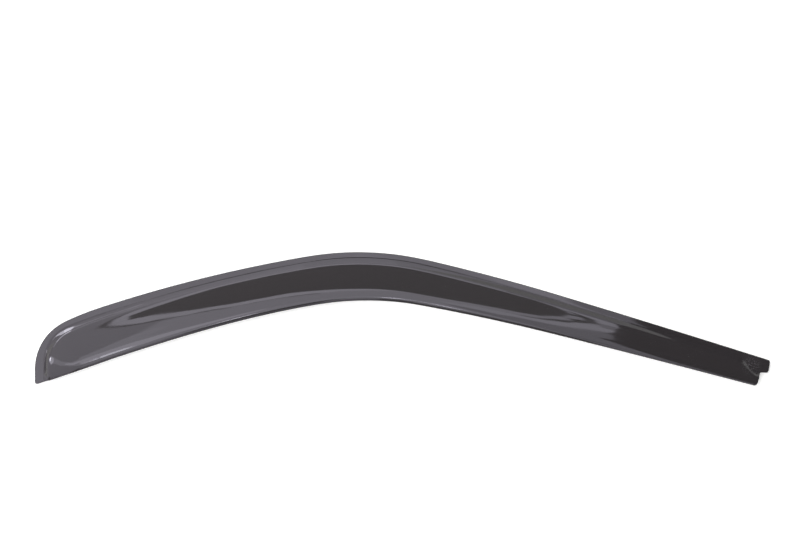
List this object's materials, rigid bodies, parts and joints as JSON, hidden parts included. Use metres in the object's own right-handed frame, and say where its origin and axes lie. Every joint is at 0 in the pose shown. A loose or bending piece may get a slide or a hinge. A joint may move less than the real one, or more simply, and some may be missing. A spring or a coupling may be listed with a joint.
{
  "type": "window rain deflector",
  "caption": "Tape-on rain deflector for a car's front side window: a bowed smoked sheet with a flat flange, a raised crowned blade, a rounded rear end and a notched front tongue.",
  "frame": {"origin": "centre of the bounding box in plan, in the plane of the tape's bonding face", "axes": "+X along the window towards the front tongue, +Y up the window, +Z away from the glass"},
  "size_m": [0.9572, 0.1736, 0.0171],
  "materials": {
    "smoked_acrylic": "polished, dark smoke tint",
    "foam_tape": "matt closed-cell foam"
  },
  "bodies": {
    "root": {"deflector_shell": "smoked_acrylic", "top_tape": "foam_tape", "rear_tape": "foam_tape"}
  },
  "joints": []
}
